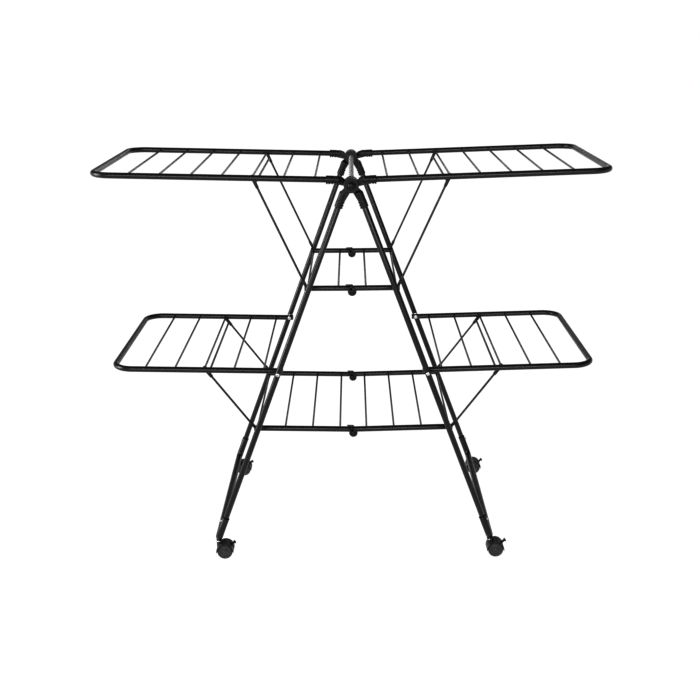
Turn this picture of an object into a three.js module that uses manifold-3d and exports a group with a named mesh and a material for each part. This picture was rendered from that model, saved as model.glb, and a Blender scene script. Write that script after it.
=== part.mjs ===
// A folding two-tier clothes airer on four braked casters.
// Two A-shaped leg frames turn on one hub axle. Two long upper wings hang on the same axle, two shorter
// lower wings hang on rivets in the legs, and two hinged middle shelves tie the legs together.
// Millimetres, +Z up, +X to the right. The origin is on the floor, below the middle of the hub axle.
import * as THREE from "three";
import { mergeVertices } from "three/addons/utils/BufferGeometryUtils.js";
import Module from "manifold-3d";

const wasm = await Module();
wasm.setup();

// Clearances
const touch_gap = 0.3; // between faces that rest on each other
const turning_gap = 0.4; // around a pin that turns
const overrun = 2; // how far a cut runs past the face it opens

// Tubes and wires
const frame_tube_diameter = 16;
const upper_shelf_tube_diameter = 15;
const lower_shelf_tube_diameter = 16;
const base_tube_diameter = 20;
const tube_wall = 1.2;
const wire_diameter = 5.5;
const rod_diameter = 5.6;
const strut_wire_diameter = 6;
const tube_sides = 10;
const wire_sides = 6;
const pin_sides = 10;
const bend_steps = 5;
const weld_depth = 0.8; // how far a welded wire's end sinks into the tube's wall

// Where the hub axle is, and how the legs leave it
const hub_height = 1088;
const leg_angle = THREE.MathUtils.degToRad(20.4); // each leg from the vertical
const leg_offset = 12.8; // leg axis to hub axis, outwards
const leg_lane = 302; // leg axis from the middle, along Y
const base_height = 61.5; // axis of the base crossbar above the floor
const base_sleeve_length = 70.6; // what the base tube covers of the leg, crossbar axis to sleeve end
const base_bend_radius = 18;
const leg_in_sleeve = 36;

// Hub discs and their tube sockets
const hub_disc_radius = 19.8;
const hub_disc_thickness = 9;
const socket_diameter = 21;
const socket_start = 24; // from the hub axis, along the tube
const socket_end = 67;
const socket_floor = 9; // solid bottom of the socket
const neck_length = 3.5; // round neck between the arm and the socket
const neck_diameter = 13;
const arm_root = 8.5; // where the arm's outer edge leaves the hub axis, across the tube
const arm_web_end = 49; // the web beside the socket ends here, along the tube
const arm_web_depth = 16; // the web's edge at the disc, from the tube's axis
const hub_spacer_radius = 12;
const axle_tube_diameter = 14;
const axle_pin_diameter = 8;
const axle_pin_past_discs = 5;
const cap_flange_radius = 13;
const cap_flange_thickness = 2.6;
const cap_dome_radius = 9.6;
const cap_dome_height = 7;

// Upper wings
const upper_wing_inset = 24.6; // rail's axis inside the leg's, along Y
const upper_wing_tilt = THREE.MathUtils.degToRad(1.6);
const upper_wing_rise = 10; // rail axis above the hub axis
const upper_wing_reach = 691; // hub axis to the outer tube's axis
const upper_wing_corner = 52;
const upper_wire_first = 97;
const upper_wire_last_gap = 94.8; // last wire to the outer tube's axis
const upper_wire_count = 7;
const upper_wire_count_before_strut = 2; // wires between the hub and the one that carries the strut

// Lower wings
const lower_wing_inset = 29; // rail's axis inside the leg's, along Y
const lower_wing_tilt = THREE.MathUtils.degToRad(1.3);
const lower_wing_height = 566.5; // rivet above the floor
const lower_wing_reach = 463.6; // rivet to the outer tube's axis
const lower_wing_corner = 52;
const lower_wing_stub = 12.6; // rail end past the rivet
const lower_wire_first = 42.2;
const lower_wire_last_gap = 88.6;
const lower_wire_count = 5;
const lower_wire_count_before_strut = 2;
const rivet_diameter = 6;
const rivet_head_radius = 5.4;
const rivet_head_height = 2.2;
const rivet_collar_radius = 7.5;

// Struts
const strut_inset = 44; // strut arm inside the leg's axis, along Y
const strut_bar_drop = 18; // crossbar below the wire that carries it
const strut_bend_radius = 10;
const strut_arm_end = 9; // arm's end above the rod's axis
const clip_width = 10;
const clip_ring_radius = 6;
const clip_length = 31;
const clip_half_neck = 4.6;
const shoe_length = 27;
const shoe_half_width = 4.8;
const shoe_rest_gap = 0.7;
const shoe_inner_reach = 2.6; // the shoe's flat foot, either side of the rod's axis
const shoe_outer_reach = 5.6;
const shoe_outer_rise = 0.8;

// Middle shelves
const shelf_inset = 59; // shelf tube inside the leg's axis, along Y
const upper_shelf_height = 796;
const lower_shelf_height = 383.5;
const upper_shelf_sag = 0.5; // centre below the rods
const lower_shelf_sag = 5.8;
const shelf_tube_past_rod = 9;
const shelf_wire_first = 38; // from the middle
const shelf_wire_pitch = 79;
const upper_shelf_wire_count = 1;
const lower_shelf_wire_count = 3;
const hinge_drop = 8; // hinge pin below the tube's axis
const hinge_radius = 12;
const hinge_cheek = 2.4;
const hinge_pin_diameter = 5;
const hinge_pin_head = 2;
const hinge_tongue_radius = 5.6;
const hinge_tongue_width = 11;
const hinge_saddle_length = 24;
const hinge_saddle_thickness = 2.4;
const hinge_tube_set_back = 8; // left tube's end from the middle
const hinge_tube_gap = 1; // right tube's end from the middle

// Casters
const caster_inset = 10; // caster inside the leg's axis, along Y
const caster_trail = 17;
const wheel_radius = 22;
const wheel_inner = 8; // inner face of a wheel from the caster's middle
const wheel_outer = 20;
const wheel_edge = 2.6;
const wheel_axle_diameter = 6;
const wheel_sides = 20;
const hood_gap = 1.2;
const hood_thickness = 1.8;
const hood_overhang = 0.6; // hood past the wheel's outer face
const hood_from = THREE.MathUtils.degToRad(-6);
const hood_to = THREE.MathUtils.degToRad(188);
const hood_steps = 10;
const web_half_width = 4.5;
const web_foot = 7; // web's lower edge below the wheel's centre
const caster_boss_radius = 7.5;
const caster_boss_top = 47;
const caster_boss_foot = 17;
const stem_diameter = 8;
const stem_foot = 24;
const stem_collar_radius = 6.5;
const stem_collar_gap = 0.5;
const base_boss_radius = 8;
const base_boss_foot = 51;
const pedal_angle = THREE.MathUtils.degToRad(40);
const pedal_half_width = 4.4;
const pedal_pivot_radius = 18.4;
const pedal_inner_radius = 14.2;
const pedal_outer_radius = 38.5;
const pedal_half_thickness = 2.6;
const pedal_lip = 4.2;
const pedal_pin_diameter = 4;
const pedal_ear_outer = 7.5;
const pedal_ear_radius = 4.2;
const pedal_window_from = THREE.MathUtils.degToRad(2);
const pedal_window_to = THREE.MathUtils.degToRad(58);

// Finishes
const powder_black = { color: 0x1b1b1c, roughness: 0.42, metalness: 0.35 };
const satin_wire = { color: 0x6f6f70, roughness: 0.35, metalness: 0.6 };
const nylon_black = { color: 0x161616, roughness: 0.5, metalness: 0 };
const grey_steel = { color: 0x8f8d8b, roughness: 0.32, metalness: 0.9 };
const bright_steel = { color: 0xcfcfcf, roughness: 0.25, metalness: 1 };
const wheel_rubber = { color: 0x2a2a2a, roughness: 0.6, metalness: 0 };

const side_names = { "-1": "left", 1: "right" };
const end_names = { "-1": "front", 1: "rear" };
const both = [-1, 1];

// A closed geometry as a solid that can be joined and cut.
function solid(geometry) {
  const bare = geometry.clone();
  for (const extra of ["normal", "uv"]) bare.deleteAttribute(extra);
  const merged = mergeVertices(bare, 1e-4);
  return new wasm.Manifold(
    new wasm.Mesh({
      numProp: 3,
      vertProperties: merged.attributes.position.array,
      triVerts: new Uint32Array(merged.index.array),
    }),
  );
}

// A solid as a named mesh with its finish.
function piece(name, made, finish) {
  const { vertProperties, triVerts } = made.getMesh();
  const geometry = new THREE.BufferGeometry()
    .setAttribute("position", new THREE.BufferAttribute(new Float32Array(vertProperties), 3))
    .setIndex(new THREE.BufferAttribute(triVerts, 1));
  geometry.computeVertexNormals();
  const mesh = new THREE.Mesh(geometry, new THREE.MeshStandardMaterial(finish));
  mesh.name = name;
  return mesh;
}

const join = (first, ...others) => others.reduce((sum, next) => sum.add(next), first);
const cut = (first, ...others) => others.reduce((left, next) => left.subtract(next), first);
const at = (x, y, z) => new THREE.Vector3(x, y, z);

// A straight and curved route: straight runs between corners, each corner rounded to one radius.
class Route extends THREE.Curve {
  constructor(corners, radius) {
    super();
    this.points = [corners[0]];
    this.tangents = [corners[1].clone().sub(corners[0]).normalize()];
    for (let i = 1; i < corners.length - 1; i++) {
      const into = corners[i].clone().sub(corners[i - 1]).normalize();
      const out = corners[i + 1].clone().sub(corners[i]).normalize();
      const turn = into.angleTo(out);
      const inward = out.clone().addScaledVector(into, -into.dot(out)).normalize();
      const start = corners[i].clone().addScaledVector(into, -radius * Math.tan(turn / 2));
      const centre = start.clone().addScaledVector(inward, radius);
      for (let step = 0; step <= bend_steps; step++) {
        const angle = (turn * step) / bend_steps;
        this.points.push(
          centre
            .clone()
            .addScaledVector(inward, -radius * Math.cos(angle))
            .addScaledVector(into, radius * Math.sin(angle)),
        );
        const along = into.clone().multiplyScalar(Math.cos(angle));
        this.tangents.push(along.addScaledVector(inward, Math.sin(angle)));
      }
    }
    const last = corners.length - 1;
    this.points.push(corners[last]);
    this.tangents.push(corners[last].clone().sub(corners[last - 1]).normalize());
  }
  getPointAt(share) {
    return this.points[Math.round(share * (this.points.length - 1))].clone();
  }
  getTangentAt(share) {
    return this.tangents[Math.round(share * (this.points.length - 1))].clone();
  }
}

// A regular outline of a round section.
function ring(radius, sides) {
  const turn = (2 * Math.PI) / sides;
  return Array.from({ length: sides }, (_, i) => {
    const angle = (i + 0.5) * turn;
    return new THREE.Vector2(radius * Math.cos(angle), radius * Math.sin(angle));
  });
}

// A round section drawn along a route; with a wall it is a hollow tube, open at both ends.
function drawn(corners, bend_radius, diameter, sides, wall) {
  const route = new Route(corners, bend_radius);
  const section = new THREE.Shape(ring(diameter / 2, sides));
  if (wall) section.holes.push(new THREE.Path(ring(diameter / 2 - wall, sides)));
  const options = { steps: route.points.length - 1, extrudePath: route };
  return solid(new THREE.ExtrudeGeometry(section, options));
}

const tube = (corners, bend_radius, diameter) =>
  drawn(corners, bend_radius, diameter, tube_sides, tube_wall);
const bar = (from, to, diameter, sides) => drawn([from, to], 0, diameter, sides, 0);

// A pin along Y at x, z.
const pin = (x, z, y_from, y_to, diameter) =>
  bar(at(x, y_from, z), at(x, y_to, z), diameter, pin_sides);

// A flat plate: an outline in X and Z, between two places along Y.
function plate(outline, y_from, y_to) {
  const low = Math.min(y_from, y_to);
  const high = Math.max(y_from, y_to);
  const shape = new THREE.Shape(outline.map(([x, z]) => new THREE.Vector2(x, z)));
  const options = { depth: high - low, bevelEnabled: false };
  const geometry = new THREE.ExtrudeGeometry(shape, options);
  return solid(geometry.rotateX(Math.PI / 2).translate(0, high, 0));
}

// A turned solid about Y at x, z, with a flat facet facing down: pairs of radius and place along Y.
function turned(profile, sides, x = 0, z = 0) {
  const geometry = new THREE.LatheGeometry(
    profile.map(([radius, y]) => new THREE.Vector2(radius, y)),
    sides,
  );
  const made = solid(geometry);
  const upright = made.volume() < 0 ? profile.slice().reverse() : profile;
  const points = upright.map(([radius, y]) => new THREE.Vector2(radius, y));
  return solid(new THREE.LatheGeometry(points, sides).rotateY(Math.PI / sides).translate(x, 0, z));
}

// Points of an arc in X and Z.
function arc(x, z, radius, from, to, steps) {
  return Array.from({ length: steps + 1 }, (_, i) => {
    const angle = from + ((to - from) * i) / steps;
    return [x + radius * Math.cos(angle), z + radius * Math.sin(angle)];
  });
}

const group = (x, y, z, turn) => {
  const made = new THREE.Group();
  made.position.set(x, y, z);
  made.rotation.y = turn;
  return made;
};

// Places worked out from the driving sizes
const leg_top_z = hub_height + leg_offset * Math.sin(leg_angle);
const leg_x_at = (z) =>
  leg_offset * Math.cos(leg_angle) + (leg_top_z - z) * Math.tan(leg_angle);
const along_leg = (z) => (leg_top_z - z) / Math.cos(leg_angle);
const leg_outer_face = leg_lane + frame_tube_diameter / 2;
const leg_inner_face = leg_lane - frame_tube_diameter / 2;
const half_stack = socket_diameter / 2;
const upper_wing_lane = leg_lane - upper_wing_inset;
const lower_wing_lane = leg_lane - lower_wing_inset;
const strut_lane = leg_lane - strut_inset;
const shelf_lane = leg_lane - shelf_inset;
const caster_lane = leg_lane - caster_inset;
const upper_wire_pitch =
  (upper_wing_reach - upper_wire_first - upper_wire_last_gap) / (upper_wire_count - 1);
const lower_wire_pitch =
  (lower_wing_reach - lower_wire_first - lower_wire_last_gap) / (lower_wire_count - 1);

// Each hub disc's two faces along Y: the two wing discs fill the wing lane, the two leg discs the leg lane.
function disc_faces(lane, outer) {
  const middle_gap = touch_gap / 2;
  const from = outer ? lane + middle_gap : lane - middle_gap - hub_disc_thickness;
  return [from, from + hub_disc_thickness];
}

// One hub piece in its own tube's frame: the tube runs along the given direction in X and Z.
// A disc on the axle, an arm with a web beside the tube, and a socket for the tube.
function hub_piece(lane, outer, end, along, across, offset) {
  const spot = (run, side_step) => [
    along[0] * run + across[0] * side_step,
    along[1] * run + across[1] * side_step,
  ];
  const point = (run, y) => {
    const [x, z] = spot(run, offset);
    return at(x, end * y, z);
  };
  const [face_from, face_to] = disc_faces(lane, outer);
  const disc_outline = arc(0, 0, hub_disc_radius, 0, 2 * Math.PI, 2 * pin_sides).slice(1);
  const arm_outline = [
    spot(0, arm_root),
    spot(0, -hub_disc_radius),
    spot(hub_disc_radius, offset - arm_web_depth),
    spot(arm_web_end, offset - half_stack),
    spot(socket_start + socket_floor, offset),
    spot(socket_start + socket_floor, offset + half_stack),
    spot(socket_start, offset + half_stack),
  ];
  const body = join(
    plate(disc_outline, end * face_from, end * face_to),
    plate(arm_outline, end * face_from, end * face_to),
    bar(point(socket_start, lane), point(socket_end, lane), socket_diameter, tube_sides),
    bar(point(socket_start - neck_length, lane), point(socket_start + socket_floor, lane),
      neck_diameter, tube_sides),
  );
  const bore = frame_tube_diameter + 2 * turning_gap;
  return cut(
    body,
    bar(point(socket_start + socket_floor, lane), point(socket_end + overrun, lane), bore, tube_sides),
    pin(0, 0, end * (face_from - half_stack), end * (face_to + half_stack),
      axle_pin_diameter + 2 * turning_gap),
  );
}

const airer = new THREE.Group();

// The hub axle: a grey tube between the hubs, with a thinner pin through the hub discs at each end
const wing_stack_inner = disc_faces(upper_wing_lane, false)[0];
const wing_stack_outer = disc_faces(upper_wing_lane, true)[1];
const leg_stack_inner = disc_faces(leg_lane, false)[0];
const leg_stack_outer = disc_faces(leg_lane, true)[1];
const axle_shoulder = Math.min(wing_stack_inner, upper_wing_lane - half_stack) - touch_gap;
const axle_pin_end = leg_stack_outer + axle_pin_past_discs;
const hub = group(0, 0, hub_height, 0);
airer.add(hub);
hub.add(
  piece(
    "hub_axle",
    turned(
      [
        [0, -axle_pin_end],
        [axle_pin_diameter / 2, -axle_pin_end],
        [axle_pin_diameter / 2, -axle_shoulder],
        [axle_tube_diameter / 2, -axle_shoulder],
        [axle_tube_diameter / 2, axle_shoulder],
        [axle_pin_diameter / 2, axle_shoulder],
        [axle_pin_diameter / 2, axle_pin_end],
        [0, axle_pin_end],
      ],
      2 * pin_sides,
    ),
    grey_steel,
  ),
);

// The caps that close the axle's ends: a flange against the outer leg disc and a domed button
const cap_inner = leg_stack_outer + touch_gap;
const cap_dome_steps = 4;
for (const end of both) {
  const dome = Array.from({ length: cap_dome_steps }, (_, i) => {
    const angle = (Math.PI / 2) * ((i + 1) / cap_dome_steps);
    const rise = cap_dome_height * Math.sin(angle);
    return [cap_dome_radius * Math.cos(angle), end * (cap_inner + cap_flange_thickness + rise)];
  });
  const bore_radius = axle_pin_diameter / 2 + turning_gap;
  const bore_end = axle_pin_end + turning_gap;
  const profile = [
    [0, end * bore_end],
    [bore_radius, end * bore_end],
    [bore_radius, end * cap_inner],
    [cap_flange_radius, end * cap_inner],
    [cap_flange_radius, end * (cap_inner + cap_flange_thickness)],
    [cap_dome_radius, end * (cap_inner + cap_flange_thickness)],
    ...dome.map(([radius, y], i) => [i === cap_dome_steps - 1 ? 0 : radius, y]),
  ];
  hub.add(piece("hub_cap_" + end_names[end], turned(profile, 2 * pin_sides), nylon_black));
}

// One leg frame: two tubes in hub sockets, joined at the foot by a bent base tube that sleeves over them.
// In its own frame the leg runs straight down from the hub axis, offset outwards.
const shelf_levels = [
  {
    name: "upper",
    height: upper_shelf_height,
    sag: upper_shelf_sag,
    diameter: upper_shelf_tube_diameter,
    wires: upper_shelf_wire_count,
  },
  {
    name: "lower",
    height: lower_shelf_height,
    sag: lower_shelf_sag,
    diameter: lower_shelf_tube_diameter,
    wires: lower_shelf_wire_count,
  },
];
const crossbar_run = along_leg(base_height);
const sleeve_run = crossbar_run - base_sleeve_length;
const rivet_run = along_leg(lower_wing_height);

for (const side of both) {
  const leg_frame = group(0, 0, 0, -side * leg_angle);
  hub.add(leg_frame);
  const leg_x = side * leg_offset;
  for (const end of both) {
    const place = side_names[side] + "_";
    const where = "_" + end_names[end];
    // The left leg's disc is the outer one, so the two legs lap like scissors.
    const made = hub_piece(leg_lane, side < 0, end, [0, -1], [side, 0], leg_offset);
    const spacer_from = wing_stack_outer + touch_gap;
    const spacer = cut(
      pin(0, 0, end * spacer_from, end * (leg_stack_inner + overrun), 2 * hub_spacer_radius),
      pin(0, 0, end * (spacer_from - overrun), end * (leg_stack_inner + 2 * overrun),
        axle_pin_diameter + 2 * turning_gap),
    );
    leg_frame.add(piece(place + "leg_hub" + where, side > 0 ? join(made, spacer) : made, nylon_black));

    const y = end * leg_lane;
    const leg_top = socket_start + socket_floor + touch_gap;
    const leg = cut(
      tube([at(leg_x, y, -leg_top), at(leg_x, y, -sleeve_run - leg_in_sleeve)], 0, frame_tube_diameter),
      pin(leg_x, -rivet_run, end * (leg_inner_face - overrun), end * (leg_outer_face + overrun),
        rivet_diameter + 2 * turning_gap),
    );
    leg_frame.add(piece(place + "leg" + where, leg, powder_black));

    // The rivet that carries the lower wing: heads outside the leg and inside the rail, and a collar between
    const rail_outer = lower_wing_lane + frame_tube_diameter / 2;
    const rail_inner = lower_wing_lane - frame_tube_diameter / 2;
    const shank = rivet_diameter / 2;
    const rivet = turned(
      [
        [0, end * (rail_inner - touch_gap - rivet_head_height)],
        [rivet_head_radius, end * (rail_inner - touch_gap - rivet_head_height)],
        [rivet_head_radius, end * (rail_inner - touch_gap)],
        [shank, end * (rail_inner - touch_gap)],
        [shank, end * (rail_outer + touch_gap)],
        [rivet_collar_radius, end * (rail_outer + touch_gap)],
        [rivet_collar_radius, end * (leg_inner_face - touch_gap)],
        [shank, end * (leg_inner_face - touch_gap)],
        [shank, end * (leg_outer_face + touch_gap)],
        [rivet_head_radius, end * (leg_outer_face + touch_gap)],
        [rivet_head_radius, end * (leg_outer_face + touch_gap + rivet_head_height / 2)],
        [rivet_head_radius / 2, end * (leg_outer_face + touch_gap + rivet_head_height)],
        [0, end * (leg_outer_face + touch_gap + rivet_head_height)],
      ],
      pin_sides,
      leg_x,
      -rivet_run,
    );
    leg_frame.add(piece(place + "wing_rivet" + where, rivet, bright_steel));
  }

  // The base tube, with a welded nut boss above each caster
  const corners = [
    at(leg_x, -leg_lane, -sleeve_run),
    at(leg_x, -leg_lane, -crossbar_run),
    at(leg_x, leg_lane, -crossbar_run),
    at(leg_x, leg_lane, -sleeve_run),
  ];
  const sleeve = tube(corners, base_bend_radius, base_tube_diameter);
  const bosses = both.map((end) => {
    // Straight down from the crossbar's axis, seen in the tilted leg frame
    const down = base_height - base_boss_foot;
    const foot = at(leg_x - side * down * Math.sin(leg_angle), end * caster_lane,
      -crossbar_run - down * Math.cos(leg_angle));
    const top = at(leg_x, end * caster_lane, -crossbar_run);
    return bar(foot, top, 2 * base_boss_radius, pin_sides);
  });
  leg_frame.add(piece(side_names[side] + "_base_bar", join(sleeve, ...bosses), powder_black));

  // The light rods between the front and rear legs, one below each shelf's end
  const rod_end = leg_inner_face - touch_gap;
  for (const { name, height } of shelf_levels) {
    const run = along_leg(height);
    const rod = bar(at(leg_x, -rod_end, -run), at(leg_x, rod_end, -run), rod_diameter, pin_sides);
    leg_frame.add(piece(side_names[side] + "_" + name + "_rod", rod, satin_wire));
  }
}

// A wing frame: a bent tube with welded wires; it lies along X in its own frame.
function wing_frame(side, lane, height, inner, reach, corner, first, pitch, count) {
  const outline = [
    at(side * inner, -lane, height),
    at(side * reach, -lane, height),
    at(side * reach, lane, height),
    at(side * inner, lane, height),
  ];
  const wires = Array.from({ length: count }, (_, i) => {
    const x = side * (first + i * pitch);
    const weld = lane - frame_tube_diameter / 2 + weld_depth;
    return bar(at(x, -weld, height), at(x, weld, height), wire_diameter, wire_sides);
  });
  return join(tube(outline, corner, frame_tube_diameter), ...wires);
}

// A strut: a bent wire hung in clips on one wing wire, with a moulded shoe on each arm that rests on a rod.
// In its own frame it hangs straight down from the wire.
function strut(side, length, angle) {
  const arm_foot = -length + strut_arm_end;
  const wire = drawn(
    [
      at(0, -strut_lane, arm_foot),
      at(0, -strut_lane, -strut_bar_drop),
      at(0, strut_lane, -strut_bar_drop),
      at(0, strut_lane, arm_foot),
    ],
    strut_bend_radius,
    strut_wire_diameter,
    wire_sides,
    0,
  );
  // From the rod's level frame, X outwards, to the strut's own frame
  const level = (x, z) => [
    side * (x * Math.cos(angle) - z * Math.sin(angle)),
    -length + x * Math.sin(angle) + z * Math.cos(angle),
  ];
  const foot = rod_diameter / 2 + shoe_rest_gap;
  const shoe_outline = [
    level(-shoe_inner_reach, foot),
    level(shoe_outer_reach, foot + shoe_outer_rise),
    [side * shoe_half_width, -length + shoe_length / 2],
    [side * shoe_half_width, -length + shoe_length],
    [-side * shoe_half_width, -length + shoe_length],
    [-side * shoe_half_width, -length + shoe_length / 3],
  ];
  const clip_outline = [
    ...arc(0, 0, clip_ring_radius, 0, Math.PI, pin_sides / 2),
    [-clip_half_neck, -clip_ring_radius],
    [-clip_half_neck, -clip_length],
    [clip_half_neck, -clip_length],
    [clip_half_neck, -clip_ring_radius],
  ];
  const fittings = both.flatMap((end) => {
    const from = end * (strut_lane - clip_width / 2);
    const to = end * (strut_lane + clip_width / 2);
    return [plate(shoe_outline, from, to), plate(clip_outline, from, to)];
  });
  const bores = both.map((end) =>
    pin(0, 0, end * (strut_lane - clip_width), end * (strut_lane + clip_width),
      wire_diameter + 2 * turning_gap),
  );
  return cut(join(wire, ...fittings), ...bores);
}

// A place on a tilted wing, in the hub's or rivet's level frame
const tilted = (x, z, tilt) => [
  x * Math.cos(tilt) - z * Math.sin(tilt),
  x * Math.sin(tilt) + z * Math.cos(tilt),
];

for (const side of both) {
  const name = side_names[side];

  // Upper wing with its two hub pieces and its strut
  const upper = group(0, 0, hub_height, -side * upper_wing_tilt);
  airer.add(upper);
  for (const end of both) {
    const made = hub_piece(upper_wing_lane, side > 0, end, [side, 0], [0, 1], upper_wing_rise);
    upper.add(piece(name + "_wing_hub_" + end_names[end], made, nylon_black));
  }
  const rail_start = socket_start + socket_floor + touch_gap;
  upper.add(
    piece(
      name + "_upper_wing",
      wing_frame(side, upper_wing_lane, upper_wing_rise, rail_start, upper_wing_reach,
        upper_wing_corner, upper_wire_first, upper_wire_pitch, upper_wire_count),
      powder_black,
    ),
  );
  const upper_wire_run = upper_wire_first + upper_wire_count_before_strut * upper_wire_pitch;
  const [upper_x, upper_z] = tilted(upper_wire_run, upper_wing_rise, upper_wing_tilt);
  hang_strut(name + "_upper_strut", side, upper_x, hub_height + upper_z, upper_shelf_height);

  // Lower wing, turning on its rivets, with its strut
  const rivet_x = leg_x_at(lower_wing_height);
  const lower = group(side * rivet_x, 0, lower_wing_height, -side * lower_wing_tilt);
  airer.add(lower);
  const frame = wing_frame(side, lower_wing_lane, 0, -lower_wing_stub, lower_wing_reach,
    lower_wing_corner, lower_wire_first, lower_wire_pitch, lower_wire_count);
  const rail_bores = both.map((end) =>
    pin(0, 0, end * (lower_wing_lane - frame_tube_diameter), end * (lower_wing_lane + frame_tube_diameter),
      rivet_diameter + 2 * turning_gap),
  );
  lower.add(piece(name + "_lower_wing", cut(frame, ...rail_bores), powder_black));
  const lower_wire_run = lower_wire_first + lower_wire_count_before_strut * lower_wire_pitch;
  const [lower_x, lower_z] = tilted(lower_wire_run, 0, lower_wing_tilt);
  hang_strut(name + "_lower_strut", side, rivet_x + lower_x, lower_wing_height + lower_z,
    lower_shelf_height);
}

// Hangs a strut from a wing wire at x, z so that its shoes stand on the rod at the given height.
function hang_strut(name, side, x, z, rod_height) {
  const run = x - leg_x_at(rod_height);
  const drop = z - rod_height;
  const angle = Math.atan2(run, drop);
  const frame = group(side * x, 0, z, side * angle);
  frame.add(piece(name, strut(side, Math.hypot(run, drop), angle), powder_black));
  airer.add(frame);
}

// Half a middle shelf: two tubes bored for the rod at their outer ends, joined by welded wires.
// In its own frame the rod is at the origin and the tubes run level towards the middle.
for (const { name, height, sag, diameter, wires } of shelf_levels) {
  const rod_x = leg_x_at(height);
  const half = Math.hypot(rod_x, sag);
  const slope = Math.atan2(sag, rod_x);
  // The hinge pin lies straight below the middle, so both sloping halves share it.
  const pin_reach = half + hinge_drop * Math.sin(slope);
  const pin_z = -hinge_drop * Math.cos(slope);
  for (const side of both) {
    const inward = -side;
    const frame = group(side * rod_x, 0, height, -side * slope);
    airer.add(frame);
    const tube_end = half - (side < 0 ? hinge_tube_set_back : hinge_tube_gap);
    const tubes = both.map((end) => {
      const y = end * shelf_lane;
      const run = [at(-inward * shelf_tube_past_rod, y, 0), at(inward * tube_end, y, 0)];
      return cut(
        tube(run, 0, diameter),
        pin(0, 0, end * (shelf_lane - diameter), end * (shelf_lane + diameter),
          rod_diameter + 2 * turning_gap),
      );
    });
    const cross_wires = Array.from({ length: wires }, (_, i) => {
      const x = inward * (half - shelf_wire_first - i * shelf_wire_pitch);
      const weld = shelf_lane - diameter / 2 + weld_depth;
      return bar(at(x, -weld, 0), at(x, weld, 0), wire_diameter, wire_sides);
    });
    let body = join(cross_wires[0], ...cross_wires.slice(1), ...tubes);
    if (side > 0) {
      // A tongue under each tube's inner end turns on the hinge pin of the other half.
      for (const end of both) {
        const pivot = inward * pin_reach;
        const tongue = [
          ...arc(pivot, pin_z, hinge_tongue_radius, Math.PI / 2, 2 * Math.PI, pin_sides),
          [pivot + hinge_radius, -diameter / 2 + tube_wall / 2],
          [pivot + 2 * hinge_tube_gap, -diameter / 2 + tube_wall / 2],
        ];
        const low = end * (shelf_lane - hinge_tongue_width / 2);
        const high = end * (shelf_lane + hinge_tongue_width / 2);
        body = cut(
          join(body, plate(tongue, low, high)),
          pin(pivot, pin_z, end * (shelf_lane - diameter), end * (shelf_lane + diameter),
            hinge_pin_diameter + 2 * turning_gap),
        );
      }
    }
    frame.add(piece(side_names[side] + "_" + name + "_shelf", body, powder_black));
    if (side > 0) continue;

    // The hinge pieces ride on the left half: a saddle over the tube's end, two round cheeks and the pin.
    for (const end of both) {
      const pivot = inward * pin_reach;
      const cheek_in = diameter / 2 + touch_gap;
      const cheek_out = cheek_in + hinge_cheek;
      const saddle_top = diameter / 2 + touch_gap + hinge_saddle_thickness;
      const saddle = [
        [pivot - hinge_saddle_length, saddle_top],
        [pivot - hinge_tube_gap, saddle_top],
        [pivot - hinge_tube_gap, saddle_top - hinge_saddle_thickness],
        [pivot - hinge_saddle_length, saddle_top - hinge_saddle_thickness],
      ];
      const cheek = [
        ...arc(pivot, pin_z, hinge_radius, -Math.PI, Math.PI / 2, pin_sides),
        [pivot, saddle_top],
        [pivot - hinge_saddle_length, saddle_top],
        [pivot - hinge_saddle_length, -diameter / 4],
        [pivot - hinge_radius, -diameter / 4],
      ];
      const lane = end * shelf_lane;
      const body = join(
        plate(saddle, lane - cheek_out, lane + cheek_out),
        plate(cheek, lane + cheek_in, lane + cheek_out),
        plate(cheek, lane - cheek_out, lane - cheek_in),
        pin(pivot, pin_z, lane - cheek_out - hinge_pin_head, lane + cheek_out + hinge_pin_head,
          hinge_pin_diameter),
      );
      frame.add(piece(name + "_shelf_hinge_" + end_names[end], body, nylon_black));
    }
  }
}

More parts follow.
